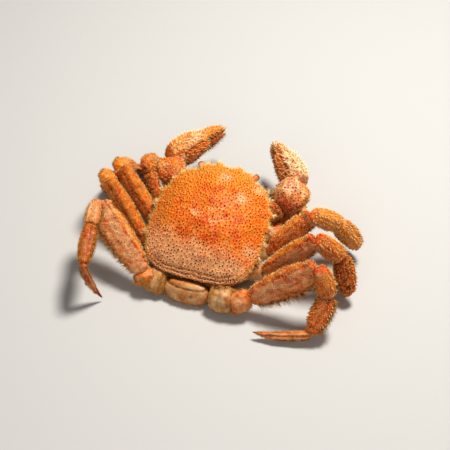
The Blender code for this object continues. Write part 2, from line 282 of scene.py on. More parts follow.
def make_shell_skin():
    piece = skin_of("carapace", 0.7 * MM, 4)
    mesh = piece.data
    across, along, above = shell_plane(places_of(mesh))
    inside = smooth_step(
        0.97, 0.80, np.hypot(across / SHELL_HALF_WIDTH, along / SHELL_BACK))
    group = piece.vertex_groups.new(name="inside")
    for index in np.nonzero(inside * (above > 0.0) > 0.02)[0]:
        group.add([int(index)], float(inside[index]), "REPLACE")
    apply_modifier(
        piece, "SMOOTH", factor=0.5, iterations=TOP_ROUNDS, vertex_group="inside")
    places = places_of(mesh)
    across, along, above = shell_plane(places)
    wander = lumps(places, 9.0, 5.0) * 1.6
    top = smooth_step(0.0, 1.5, above)
    relief = 0.5 * lumps(places, 8.0) + 0.3 * lumps(places, 2.4, 2.0)
    groove_mark = np.zeros(len(places))
    for run, width, depth in SHELL_GROOVES:
        mark = bell(run_distance(across + wander, along + wander, run), 0.0, width)
        groove_mark = np.maximum(groove_mark, mark * depth)
    relief -= groove_mark
    # The rim at the back is rolled, with a furrow just inside it.
    back = smooth_step(-38.0, -44.5, along)
    rim_gap = back_margin_gap(across, along) + 0.6 * wander
    furrow = np.maximum(bell(rim_gap, 2.3, 0.6), 0.8 * bell(rim_gap, 4.9, 0.7))
    relief += back * (0.7 * bell(rim_gap, 1.2, 0.8) - furrow)
    raise_skin(piece, relief * np.maximum(top, 0.35))

    # Colours: bright orange in front, pinkish tan behind, red at the blotches.
    blotch = nearness(across + wander, along - wander, SHELL_BLOTCHES)
    fade = rear_fade(across, along + 3.0 * wander)
    flank = smooth_step(3.0, -3.0, above)
    gold = 0.35 + 0.5 * lumps(places, 9.0, 8.0) + 0.5 * smooth_step(20.0, 45.0, along)
    pale = 0.95 * fade + 0.9 * groove_mark * (np.abs(across) < 15.0)
    pale += 0.8 * fade * lumps(places, 2.6, 20.0)
    pale += 0.6 * back * np.maximum(bell(rim_gap, 3.5, 0.6), bell(rim_gap, 1.1, 0.7))
    pale += 0.9 * nearness(across, along, SHELL_PALE_PLACES)
    # Towards the rear corners the shell is olive tan.
    corner = smooth_step(-24.0, -34.0, along) * smooth_step(5.5, 2.0, rim_gap)
    corner *= smooth_step(20.0, 30.0, np.abs(across))
    red = 1.15 * blotch * (1.0 - 0.5 * fade) + 0.3 * lumps(places, 6.0, 4.0)
    red += 0.35 * fade * lumps(places, 4.0, 23.0)
    # The furrows inside the back rim are painted darker: painted shade in the creases.
    dark = 0.55 * back * furrow + 0.2 * flank * (1.0 - fade) + 0.3 * corner
    pale *= (1.0 - 0.5 * corner) * (1.0 - 0.9 * blotch)
    paint(mesh, gold * (1.0 - 0.6 * fade), pale, red, dark)
    return piece


# ---------------- limbs

# The side of the limbs that faces up and back, and the edge that faces up and
# forwards.
VIEWED_SIDE = np.array((0.2, -0.6, 0.77))
UPPER_EDGE = np.array((-0.24, 0.73, 0.64))
OUTER_EDGE = {
    "claw_left": np.array((-0.7, 0.4, 0.5)), "claw_right": np.array((0.9, 0.3, 0.3))}
# The place that the limbs lead away from.
BODY_MIDDLE = np.array((0.0, -5.0, 20.0)) * MM

LEG_KINDS = ("coxa", "ischium", "merus", "carpus", "propodus", "dactylus")
CLAW_KINDS = ("arm", "carpus", "palm", "finger")
LIMBS = (
    [("leg_%s_%d" % (side, number), LEG_KINDS)
     for side in ("left", "right") for number in (1, 2, 3, 4)]
    + [("claw_" + side, CLAW_KINDS) for side in ("left", "right")])

# How golden, pale, red and dark joints are: each kind, then single ones.
JOINT_TONES = {
    "coxa": (0.35, 0.35, 0.05, 0.15), "ischium": (0.35, 0.55, 0.15, 0.05),
    "merus": (0.3, 0.35, 0.25, 0.15), "carpus": (0.5, 0.2, 0.25, 0.0),
    "propodus": (0.4, 0.2, 0.3, 0.15), "dactylus": (0.1, 0.5, 0.3, 0.15),
    # The arms' dark red is partly their colour and partly painted shade.
    "arm": (0.0, 0.1, 0.6, 0.45), "palm": (0.6, 0.2, 0.25, 0.0),
    "finger": (0.2, -0.2, 0.5, 0.35),
    # The first left leg's merus is dark partly from its colour and partly as painted shade.
    "leg_left_1_merus": (0.0, 0.0, 0.6, 0.55), "leg_left_2_merus": (0.5, 0.2, 0.2, 0.1),
    "leg_left_3_merus": (0.6, 0.1, 0.15, 0.05), "leg_left_4_merus": (0.1, 0.7, 0.25, 0.05),
    "leg_left_1_carpus": (0.5, 0.1, 0.2, 0.1),
    "leg_left_2_carpus": (0.9, 0.1, 0.0, 0.0), "leg_left_3_carpus": (0.9, 0.1, 0.0, 0.0),
    "leg_right_1_merus": (0.5, 0.1, 0.25, 0.25), "leg_right_2_merus": (0.4, 0.1, 0.35, 0.1),
    "leg_right_3_merus": (0.3, 0.3, 0.35, 0.15),
    "leg_right_4_merus": (0.2, 0.5, 0.35, 0.05),
    "leg_right_1_carpus": (1.3, 0.0, -0.2, -0.3),
    "leg_right_2_carpus": (1.2, 0.1, -0.2, -0.3),
    "claw_right_carpus": (0.6, 0.35, 0.35, 0.0), "claw_left_palm": (0.75, 0.0, 0.25, 0.0),
    "leg_right_1_propodus": (1.1, 0.0, 0.0, -0.1),
    "leg_right_2_propodus": (1.0, 0.1, 0.0, 0.0),
    # The third right leg's propodus is dark partly from its colour and partly as painted
    # shade.
    "leg_right_3_propodus": (0.0, 0.0, 0.5, 0.65),
    "leg_right_4_propodus": (0.2, 0.1, 0.4, 0.3),
    # The dark of the fourth left leg's propodus and dactylus and of the fourth right leg's
    # dactylus is partly their colour and partly painted shade.
    "leg_left_4_propodus": (0.2, 0.0, 0.35, 0.5), "leg_left_4_carpus": (0.2, 0.5, 0.2, 0.1),
    "leg_left_4_dactylus": (0.1, 0.35, 0.35, 0.4),
    "leg_right_4_dactylus": (0.15, 0.55, 0.0, 0.3),
}

# Whitish patches of single joints: share along and place across their middle,
# and half their length and breadth.
PALE_PATCHES = {
    "claw_right_palm": (0.3, 0.8, 0.4, 0.4), "claw_right_carpus": (0.62, 0.25, 0.26, 0.5),
    "claw_left_palm": (0.36, 0.62, 0.16, 0.18), "leg_right_3_merus": (0.55, 0.1, 0.35, 0.4),
    "leg_left_4_carpus": (0.5, 0.4, 0.3, 0.4), "leg_right_4_propodus": (0.1, 0.3, 0.2, 0.5),
    "leg_right_4_merus": (0.45, 0.2, 0.4, 0.4), "leg_left_4_merus": (0.5, 0.25, 0.4, 0.35),
    "leg_right_4_carpus": (0.15, 0.0, 0.08, 0.3),
    "leg_right_3_carpus": (0.15, -0.1, 0.08, 0.3),
    "leg_right_2_carpus": (0.15, -0.3, 0.07, 0.25),
}
# How much the skins of close-set pieces swell to meet, in millimetres.
SWELLING = {"coxa": 0.9, "ischium": 1.0}

# Where the seam lies that runs along each long joint, from -1 at its lower
# edge to 1 at its upper one.
SEAMS = {"leg_left_2_merus": 0.25, "leg_left_3_merus": 0.2}
OTHER_SEAM = 0.6
# Each palm's furrow beside its moving finger: the share along the palm where it
# starts, and its place across the palm there and near the tip.
FINGER_SEAMS = {"claw_left_palm": (0.2, 0.36, 0.03), "claw_right_palm": (0.22, 0.5, 0.3)}

# Legs whose knees are bent so far that the soft red fold shows.  Their carpus has
# a hard pale knob beside the fold.
OPEN_KNEES = ("leg_right_2", "leg_right_3", "leg_right_4")

# Relief of each kind of joint: number of ridges round it, their height in
# millimetres, and how much its far end flares into a collar.
RELIEF = {
    "coxa": (0, 0.0, 0.2), "ischium": (0, 0.0, 0.3), "merus": (0, 0.0, 0.7),
    "carpus": (7, 0.3, 0.4), "propodus": (5, 0.3, 0.5), "wrist": (4, 1.1, 0.3),
    "dactylus": (6, 0.35, 0.0), "arm": (4, 0.3, 0.3), "palm": (0, 0.0, 0.0),
    "finger": (4, 0.25, 0.0),
}
# Grain in millimetres and rounds of smoothing of limb skins.
LIMB_GRAIN = (0.7, 9)
SLIM_GRAIN = (0.5, 5)


def limb_of(node):
    return node.rsplit("_", 1)[0]


def is_wrist(node):
    return node in ("claw_left_carpus", "claw_right_carpus")


def finger_parts(node, share, across):
    """1 in the furrow beside a palm's moving finger, and 1 on the finger's root."""
    start, first, last = FINGER_SEAMS[node]
    seam = first + (last - first) * smooth_step(0.4, 0.75, share)
    started = smooth_step(start - 0.03, start + 0.03, share)
    furrow = bell(across, seam, 0.08) * started
    furrow += 0.7 * bell(share, start, 0.03) * smooth_step(seam, seam - 0.1, across)
    return furrow, smooth_step(seam, seam - 0.1, across) * started


def carve_joint(piece, node, kind, axes):
    places = places_of(piece.data)
    share, across, through = joint_shares(places, axes)
    ridges, height, collar = RELIEF["wrist" if is_wrist(node) else kind]
    round_about = np.arctan2(through, across)
    ends = np.sin(pi * np.clip(share, 0.0, 1.0)) ** 0.6
    relief = height * np.cos(ridges * round_about) * ends
    relief += collar * (bell(share, 0.95, 0.04) - bell(share, 0.86, 0.05))
    if kind == "palm":
        relief -= 0.9 * finger_parts(node, share, across)[0]
    if kind == "merus":
        # A seam runs along it, with a shallow hollow below and a ridge above.
        relief -= 0.45 * bell(across, SEAMS.get(node, OTHER_SEAM), 0.08) * ends
        relief -= 0.5 * bell(across, -0.05, 0.5) * ends
        relief += 0.4 * bell(across, 0.62, 0.2) * ends
        # The far end has a knob at its lower edge.
        relief += 0.9 * bell(share, 0.96, 0.05) * bell(across, -0.6, 0.25)
    if kind == "carpus" and limb_of(node) in OPEN_KNEES:
        relief += 1.1 * patch_share(node, share, across)
    relief += 0.35 * lumps(places, 7.0) + 0.25 * lumps(places, 2.4, 3.0)
    raise_skin(piece, relief + SWELLING.get(kind, 0.0))


def streaks(places, axes, offset):
    """Smooth noise from -1 to 1, drawn out along a joint."""
    middle, long_axis, _, _ = axes
    along = (places - middle) @ long_axis
    return lumps(places - 0.75 * along[:, None] * long_axis, 2.6, offset)


def patch_share(node, share, across):
    """0 to 1: how far places belong to the joint's whitish patch."""
    if node not in PALE_PATCHES:
        return 0.0 * share
    share_middle, across_middle, length, breadth = PALE_PATCHES[node]
    return bell(share, share_middle, length) * bell(across, across_middle, breadth)


def merus_tones(node, share, across):
    """Gold, pale, red and dark added by a long joint's seam and knee, and a painted
    highlight above the seam.
    """
    seam = SEAMS.get(node, OTHER_SEAM)
    above_seam = smooth_step(seam, seam + 0.15, across)
    red_above, gold_above = (0.25, 0.1) if node in SEAMS else (0.0, 0.5)
    # The narrow gold band just above the seam is a painted highlight along the ridge.
    gold = gold_above * above_seam + 0.7 * bell(across, seam + 0.16, 0.06)
    red = red_above * above_seam + 0.5 * bell(across, seam, 0.1)
    # The far end has a pale collar, a pale knob and a red soft fold.
    bent = 1.0 if limb_of(node) in OPEN_KNEES else 0.25
    pale = 0.9 * bell(share, 0.9, 0.03) + bell(share, 0.96, 0.06) * (across < -0.3)
    pale = bent * pale - 0.5 * above_seam
    red += bent * bell(share, 1.0, 0.05) * (across > -0.3)
    return gold, pale, red, 0.3 * bell(across, seam, 0.07)


def palm_tones(node, share, across):
    """Gold, pale, red and dark added by a palm's outer edge and finger root."""
    left = "left" in node
    furrow, root = finger_parts(node, share, across)
    red = 0.9 * furrow + (0.35 if left else 0.1) * root
    pale = (0.2 if left else 0.6) * smooth_step(0.55, 0.9, across)
    pale -= 0.25 * root + furrow
    # A hard white knob lies behind the left finger's root.
    pale += 1.2 * left * bell(share, 0.11, 0.05) * bell(across, 0.2, 0.12)
    return 0.0 * share, pale, red, 0.6 * furrow + 0.1 * root


def tip_tones(places, share, across):
    """Tones added by a claw's white tip and dark red biting edge."""
    tip = smooth_step(0.78, 0.96, share)
    biting = smooth_step(0.0, -0.4, across) * smooth_step(0.3, 0.5, share)
    biting = (1.0 - tip) * biting
    pale = 1.1 * tip + 0.3 * bell(lumps(places, 9.0, 12.0), 0.4, 0.2)
    return 0.0 * share, pale, biting - tip, 0.5 * biting - tip


def tone_joint(piece, node, kind, axes):
    mesh = piece.data
    places = places_of(mesh)
    share, across, through = joint_shares(places, axes)
    wrist = is_wrist(node)
    gold, pale, red, dark = JOINT_TONES.get(node, JOINT_TONES[kind])
    mottle = lumps(places, 7.0, 6.0)
    streak = streaks(places, axes, 4.0)
    edge = np.abs(across) ** 3
    gold = gold + 0.5 * lumps(places, 5.0, 1.0) + 0.35 * edge
    pale = pale + 0.6 * mottle + (0.1 if wrist else 0.55) * streak - 0.2 * edge
    pale += 0.9 * patch_share(node, share, across)
    red = red + 0.6 * lumps(places, 5.0, 9.0) + 0.6 * streaks(places, axes, 11.0)
    dark = dark * (1.0 - 0.7 * edge) + 0.35 * lumps(places, 4.0, 14.0) - 0.2 * streak
    # Painted shade: every joint is painted darker towards its lower edge.
    dark += 0.4 * smooth_step(-0.45, -1.0, across)
    if kind in ("coxa", "ischium"):
        # Brown seams where the short joints meet, and a pale middle that is partly their
        # cream colour and partly a painted sheen.
        dark += 0.8 * smooth_step(0.16, 0.02, share) + 0.7 * smooth_step(0.86, 1.0, share)
        dark += 0.6 * smooth_step(0.6, 1.0, across)
        pale += 0.5 * bell(share, 0.5, 0.25) * bell(across, 0.0, 0.5)
    if wrist:
        # The wrist's root is dark red.
        dark += 0.5 * smooth_step(0.25, 0.05, share)
        red += 0.6 * smooth_step(0.35, 0.1, share)
    if kind == "carpus":
        red += 0.9 * bell(share, 0.0, 0.12) * (limb_of(node) in OPEN_KNEES)
        pale += 0.9 * bell(share, 0.96, 0.04)
    if kind == "propodus":
        pale += 0.8 * bell(share, 0.0, 0.05)
    if kind == "dactylus":
        # Pale and red stripes along it follow its ridges.
        stripes = np.cos(RELIEF[kind][0] * np.arctan2(through, across))
        pale += 0.4 * stripes
        red -= 0.25 * stripes
        dark += 0.5 * smooth_step(0.8, 1.0, share)
    tones = np.array((gold, pale, red, dark))
    if kind == "merus":
        tones += merus_tones(node, share, across)
    if kind == "palm":
        tones += palm_tones(node, share, across)
    if kind in ("finger", "palm"):
        tones += tip_tones(places, share, across)
    paint(mesh, *tones)


def make_limb_skins():
    """Skins of all limb joints: node to piece, kind and axes."""
    made = {}
    for limb, kinds in LIMBS:
        root = BODY_MIDDLE
        upper = OUTER_EDGE.get(limb, UPPER_EDGE)
        for kind in kinds:
            node = limb + "_" + kind
            if node not in cad_nodes:
                continue
            grain, rounds = SLIM_GRAIN if kind in ("dactylus", "finger") else LIMB_GRAIN
            piece = skin_of(node, grain * MM, rounds)
            ahead = None
            if is_wrist(node):
                ahead = places_of(cad_nodes[limb + "_palm"].data).mean(0)
            axes = own_axes(places_of(piece.data), root, upper, ahead)
            carve_joint(piece, node, kind, axes)
            root = axes[0]
            tone_joint(piece, node, kind, axes)
            made[node] = (piece, kind, axes)
    return made


# ---------------- small shapes

def take_shape(piece):
    """Points and triangles of a small modelled shape, which is then removed."""
    points, faces = places_of(piece.data), triangles_of(piece.data)
    bpy.data.objects.remove(piece, do_unlink=True)
    return points, faces


def model_wart(waist, tip):
    """A six-sided wart one unit in radius at its foot, its tip raised."""
    bpy.ops.mesh.primitive_cone_add(
        vertices=6, radius1=1.0, radius2=waist, depth=0.7, end_fill_type="TRIFAN")
    wart = bpy.context.object
    edit_all(wart)
    bpy.ops.mesh.select_all(action="DESELECT")
    leave_edit()
    for vert in wart.data.vertices:
        on_axis = abs(vert.co.x) < 0.1 and abs(vert.co.y) < 0.1
        vert.select = on_axis and vert.co.z > 0.0
    bpy.ops.object.mode_set(mode="EDIT")
    bpy.ops.transform.translate(value=(0.0, 0.0, tip))
    leave_edit()
    return take_shape(wart)


def model_bristle(cuts):
    """A three-sided bristle one unit long and one unit in radius."""
    bpy.ops.mesh.primitive_cone_add(
        vertices=3, radius1=1.0, radius2=0.0, depth=1.0, location=(0.0, 0.0, 0.5),
        end_fill_type="NOTHING")
    bristle = bpy.context.object
    bpy.ops.object.transform_apply()
    if cuts:
        edit_all(bristle)
        bpy.ops.mesh.subdivide(number_cuts=cuts)
        leave_edit()
    return take_shape(bristle)


# Random places drawn for each one that even spacing keeps, and the steps to a
# cell's neighbours.
SCATTER_CROWD = 5.0
NEXT_CELLS = np.array(list(product((-1, 0, 1), repeat=3)))


def scatter(piece, spacing, chance=None, even=True):
    """Places and normals about spacing apart on a piece's surface.

    chance gives how likely each place is kept.
    """
    mesh = piece.data
    verts = places_of(mesh)
    normals = normals_of(mesh)
    faces = triangles_of(mesh)
    corners = verts[faces]
    sides = np.cross(corners[:, 1] - corners[:, 0], corners[:, 2] - corners[:, 0])
    areas = np.linalg.norm(sides, axis=1) / 2.0
    crowd = SCATTER_CROWD if even else 1.0
    count = int(areas.sum() / spacing ** 2 * crowd)
    picks = draws.choice(len(faces), count, p=areas / areas.sum())
    mix = draws.random((count, 2))
    mix[mix.sum(1) > 1.0] = 1.0 - mix[mix.sum(1) > 1.0]
    weights = np.column_stack((1.0 - mix.sum(1), mix))
    places = (corners[picks] * weights[:, :, None]).sum(1)
    leans = unit((normals[faces[picks]] * weights[:, :, None]).sum(1))
    if chance is not None:
        wanted = draws.random(count) < chance(places)
        places, leans = places[wanted], leans[wanted]
    if not even:
        return places, leans
    taken = {}
    kept = []
    cells = np.floor(places / spacing).astype(int)
    for index, (place, cell) in enumerate(zip(places, cells)):
        near = [
            other for step in NEXT_CELLS
            for other in taken.get(tuple(cell + step), ())]
        if near and np.min(np.sum((places[near] - place) ** 2, axis=1)) < spacing ** 2:
            continue
        taken.setdefault(tuple(cell), []).append(index)
        kept.append(index)
    return places[kept], leans[kept]


# Longest way from a joint's middle line to its skin.
RAY_REACH = 50.0 * MM


def surface_rows(piece, axes, angles, spacing, first=0.08, last=0.92):
    """Places and normals in rows along a joint at angles round it, in degrees.

    Angle 0 is the joint's upper edge, 90 its viewed face, 180 its lower edge.
    """
    middle, long_axis, broad, thin = axes
    verts = places_of(piece.data)
    tree = BVHTree.FromPolygons(verts.tolist(), triangles_of(piece.data).tolist())
    along = (verts - middle) @ long_axis
    low, high = along.min(), along.max()
    steps = max(int((high - low) * (last - first) / spacing), 1)
    places, leans = [], []
    for row, angle in enumerate(angles):
        for step in range(steps + 1):
            share = first + (last - first) * (step + 0.5 * (row % 2)) / (steps + 0.5)
            start = middle + long_axis * (low + (high - low) * share)
            start = start + long_axis * draws.normal(0.0, 0.15) * spacing
            turn = radians(angle + draws.normal(0.0, 5.0))
            way = broad * cos(turn) + thin * sin(turn)
            hit, normal, _, _ = tree.ray_cast(Vector(start), Vector(way), RAY_REACH)
            if hit is not None:
                places.append(np.array(hit))
                leans.append(np.array(normal))
    return np.array(places).reshape(-1, 3), np.array(leans).reshape(-1, 3)


def unit(vectors):
    return vectors / np.maximum(np.linalg.norm(vectors, axis=1), 1e-12)[:, None]


def square_to(ways, turn):
    """A direction square to each way, turned round it by an angle."""
    helper = np.where(np.abs(ways[:, 2:3]) > 0.9, (1.0, 0.0, 0.0), (0.0, 0.0, 1.0))
    first = unit(np.cross(helper, ways))
    second = np.cross(ways, first)
    return first * np.cos(turn)[:, None] + second * np.sin(turn)[:, None]


def tufts(places, leans, number, reach, tilt, sway):
    """Bristle feet in rings of a number round places, and ways leaning out."""
    turn = np.tile(np.arange(number), len(places)) * 2.0 * pi / number
    turn = turn + np.repeat(draws.random(len(places)) * 2.0 * pi, number)
    turn = turn + draws.normal(0.0, 0.3, len(turn))
    leans = np.repeat(leans, number, 0)
    out = square_to(leans, turn)
    feet = np.repeat(places, number, 0) + out * reach
    return feet, unit(leans + out * tilt + draws.normal(0.0, sway, out.shape))


# How far small pieces may stand out of the CAD model's box, as a share of its
# sides.  Their tips stay above TIP_FLOOR and their feet above FOOT_FLOOR.
ROOM = 0.022
TIP_FLOOR = 0.1 * MM
FOOT_FLOOR = 0.6 * MM


def within_room(places):
    low, high = np.array(cad_box)
    room = (high - low) * ROOM
    low = low - room
    low[2] = TIP_FLOOR
    return np.all((places > low) & (places < high + room), axis=1)


def join_copies(name, shape, sets, material, bend=0.0):
    """One mesh of many copies of a shape, each standing along its way.

    sets holds, for each lot of copies, their places, ways, radii and lengths
    in millimetres, and shades.  bend droops their tips by a share of length.
    """
    places, ways, radii, lengths, shades = map(np.concatenate, zip(*sets))
    radii, lengths = radii * MM, lengths * MM
    kept = within_room(places + ways * lengths[:, None]) & (places[:, 2] > FOOT_FLOOR)
    places, ways, radii, lengths = places[kept], ways[kept], radii[kept], lengths[kept]
    points, faces = shape
    count = len(places)
    side = square_to(ways, draws.random(count) * 2.0 * pi)
    front = np.cross(ways, side)
    droop = bend * lengths * (0.4 + draws.random(count))
    sizes = np.column_stack((radii, radii, lengths))
    grown = points[None] * sizes[:, None]
    verts = (
        places[:, None] + side[:, None] * grown[:, :, 0:1]
        + front[:, None] * grown[:, :, 1:2] + ways[:, None] * grown[:, :, 2:3]
        + side[:, None] * (points[None, :, 2:3] ** 2 * droop[:, None, None]))
    starts = np.arange(count)[:, None, None] * len(points)
    mesh = bpy.data.meshes.new(name)
    mesh.from_pydata(
        verts.reshape(-1, 3).tolist(), [], (faces[None] + starts).reshape(-1, 3).tolist())
    height = (points[:, 2] - points[:, 2].min()) / np.ptp(points[:, 2])
    keep_values(mesh, "tip", np.tile(height, count))
    keep_values(mesh, "shade", np.repeat(shades[kept], len(points)))
    mesh.shade_smooth()
    mesh.materials.append(material)
    piece = bpy.data.objects.new(name, mesh)
    scene.collection.objects.link(piece)
    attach(piece, "root")


def lot(places, ways, radius, length, length_spread=0.4, shade=None):
    """A lot of copies with lengths and shades that vary at random."""
    count = len(places)
    lengths = length * (1.0 + length_spread * (draws.random(count) - 0.5))
    shades = draws.random(count) if shade is None else np.clip(
        shade + 0.5 * (draws.random(count) - 0.5), 0.0, 1.0)
    return places, ways, radius * np.ones(count), lengths * np.ones(count), shades


# ---------------- materials

def colour(code):
    """Linear colour of an sRGB hex code."""
    parts = [int(code[i:i + 2], 16) / 255.0 for i in (0, 2, 4)]
    linear = [
        part / 12.92 if part <= 0.04045 else ((part + 0.055) / 1.055) ** 2.4
        for part in parts]
    return (*linear, 1.0)


def add_node(tree, kind, inputs=(), **settings):
    """Add a shader node; inputs pairs a socket with a value or another socket."""
    node = tree.nodes.new(kind)
    for name, value in settings.items():
        setattr(node, name, value)
    for socket, value in inputs:
        if isinstance(value, bpy.types.NodeSocket):
            tree.links.new(value, node.inputs[socket])
        else:
            node.inputs[socket].default_value = value
    return node


def new_material(name, roughness, coat=0.0, gloss=0.15):
    material = bpy.data.materials.new(name)
    material.use_nodes = True
    tree = material.node_tree
    shader = tree.nodes["Principled BSDF"]
    for socket, value in (
            ("Roughness", roughness), ("IOR", 1.5), ("Specular IOR Level", gloss),
            ("Coat Weight", coat), ("Coat Roughness", 0.25)):
        shader.inputs[socket].default_value = value
    place = add_node(tree, "ShaderNodeTexCoord").outputs["Object"]
    return material, tree, shader, place


def layered(tree, main, layers):
    """A main colour with each layer's colour laid over it by the layer's share."""
    look = colour(main)
    for share, code in layers:
        look = add_node(
            tree, "ShaderNodeMix", ((0, share), (6, look), (7, colour(code))),
            data_type="RGBA").outputs[2]
    return look


# Scales of the shell's patterns, per metre: specks 1.5 mm, patches 4.8 mm and
# pigment spots 1.6 mm apart.
SPECK_SCALE = 650.0
PATCH_SCALE = 210.0
SPOT_SCALE = 620.0
# Straw yellow of bristle stubs.
STUB_COLOUR = "F2B25C"


def boiled_shell(name, main, gold, pale, red, dark, roughness, spotted=0.55):
    """Boiled crab shell: chalky, moist, mottled skin between its bristles.

    gold, pale, red and dark are painted on the piece and set how far the main
    colour goes towards each of those, and spotted how strong the dark pigment
    spots are.  A net of pale bristle stubs covers it, coarser than real down.
    """
    material, tree, shader, place = new_material(name, roughness, coat=0.04, gloss=0.2)
    speck = add_node(
        tree, "ShaderNodeTexNoise",
        (("Vector", place), ("Scale", SPECK_SCALE), ("Detail", 3.0), ("Roughness", 0.6)))
    patch = add_node(
        tree, "ShaderNodeTexNoise",
        (("Vector", place), ("Scale", PATCH_SCALE), ("Detail", 2.0)))
    stirred = add_node(
        tree, "ShaderNodeMath",
        ((0, patch.outputs["Fac"]), (1, -0.5)), operation="ADD").outputs[0]
    layers = []
    for kind, code, spread in (
            ("gold", gold, 1.4), ("pale", pale, 0.9),
            ("red", red, 1.0), ("dark", dark, 0.8)):
        painted = add_node(tree, "ShaderNodeAttribute", attribute_name=kind).outputs["Fac"]
        share = add_node(
            tree, "ShaderNodeMath",
            ((0, stirred), (1, spread), (2, painted)), operation="MULTIPLY_ADD",
            use_clamp=True).outputs[0]
        layers.append((share, code))
    # Pigment spots half a millimetre across.
    spots = add_node(
        tree, "ShaderNodeTexVoronoi", (("Vector", place), ("Scale", SPOT_SCALE)))
    spot = add_node(
        tree, "ShaderNodeMapRange",
        (("Value", spots.outputs["Distance"]), ("From Min", 0.3), ("From Max", 0.18),
         ("To Min", 0.0), ("To Max", spotted))).outputs["Result"]
    net = add_node(
        tree, "ShaderNodeMapRange",
        (("Value", speck.outputs["Fac"]), ("From Min", 0.47), ("From Max", 0.62),
         ("To Min", 0.0), ("To Max", 0.35))).outputs["Result"]
    layers += [(spot, dark), (net, STUB_COLOUR)]
    tree.links.new(layered(tree, main, layers), shader.inputs["Base Color"])
    # Moist here and chalky there.
    wet = add_node(
        tree, "ShaderNodeMapRange",
        (("Value", patch.outputs["Fac"]), ("From Min", 0.3), ("From Max", 0.7),
         ("To Min", roughness - 0.12), ("To Max", roughness + 0.12))).outputs["Result"]
    tree.links.new(wet, shader.inputs["Roughness"])
    bump = add_node(
        tree, "ShaderNodeBump",
        (("Strength", 0.55), ("Distance", 0.4 * MM), ("Height", speck.outputs["Fac"])))
    tree.links.new(bump.outputs["Normal"], shader.inputs["Normal"])
    return material


def tipped(name, foot, tip, other, roughness, start=0.2, end=0.9):
    """Horn of warts, spines and bristles: one colour at the foot, one at the tip.

    Each copy leans its own way towards a third colour.
    """
    material, tree, shader, _ = new_material(name, roughness, gloss=0.25)
    height = add_node(tree, "ShaderNodeAttribute", attribute_name="tip").outputs["Fac"]
    shade = add_node(tree, "ShaderNodeAttribute", attribute_name="shade").outputs["Fac"]
    rise = add_node(
        tree, "ShaderNodeMapRange",
        (("Value", height), ("From Min", start), ("From Max", end))).outputs["Result"]
    own = add_node(
        tree, "ShaderNodeMath", ((0, shade), (1, 0.8)), operation="MULTIPLY").outputs[0]
    look = layered(tree, foot, ((rise, tip), (own, other)))
    tree.links.new(look, shader.inputs["Base Color"])
    return material


# Bright orange in front, pinkish tan where it is painted pale, with red blotches.
shell_look = boiled_shell(
    "boiled_crab_shell", "DC5206", "F28E1C", "EAA876", "C82E02", "5C1C0A", 0.5)
# Deeper orange of the legs, which goes to gold, tan, brick red and brown.
limb_look = boiled_shell(
    "boiled_limb_shell", "D8590A", "F49A24", "EAB07E", "C43606", "541806", 0.5)
# The claws are creamier and a clearer orange than the legs.
claw_look = boiled_shell(
    "boiled_claw_shell", "E6641A", "F8A230", "FADEB2", "CC3008", "66200A", 0.5)
# Thin tan and cream shell of the underside, with few spots.
belly_look = boiled_shell(
    "pale_belly_shell", "BE8248", "D09646", "ECC69A", "B2623A", "4E260C", 0.45,
    spotted=0.15)
# Dark red horn of the moving fingers, glossier, with a white tip.
finger_look = boiled_shell(
    "horny_finger", "D85418", "F0A050", "FAECC8", "A82008", "4A0E04", 0.35)
# Wart tips are dark red-brown horn that shows as dots from afar.
wart_look = tipped("wart_horn", "B03408", "541004", "DC3A04", 0.5, start=0.02, end=0.3)
# Spines are amber, paler at the point.
spine_look = tipped("spine_horn", "DC6A0E", "FCD270", "FDECC4", 0.45, end=0.75)
# Bristles are stiff golden hairs, straw coloured at the tip when boiled.
bristle_look = tipped("straw_bristle", "F08C14", "FFD25A", "FFEEC4", 0.45, end=0.6)
# Fringe hairs along the limbs are brown at the foot.
fringe_look = tipped(
    "fringe_bristle", "B0641C", "F0B450", "7A4014", 0.5, start=0.05, end=0.6)


# ---------------- making

draws = np.random.default_rng(SEED)
wart_shape = model_wart(0.62, 0.35)
spine_shape = model_wart(0.42, 0.9)
bristle_shape = model_bristle(0)
hair_shape = model_bristle(1)

shell_skin = make_shell_skin()
limb_skins = make_limb_skins()


def finish_skin(piece, node, material):
    piece.data.materials.append(material)
    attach(piece, "root")
    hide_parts(node)


finish_skin(shell_skin, "carapace", shell_look)
LIMB_LOOKS = {"finger": finger_look, "coxa": belly_look, "palm": claw_look}
for node, (piece, kind, _) in limb_skins.items():
    look = LIMB_LOOKS.get(kind, claw_look if is_wrist(node) else limb_look)
    finish_skin(piece, node, look)

# Grain in millimetres of the skins below the shell.
BELLY_GRAINS = {
    "thorax": 0.9, "abdomen": 0.6, "mouth_plate_left": 0.5, "mouth_plate_right": 0.5}
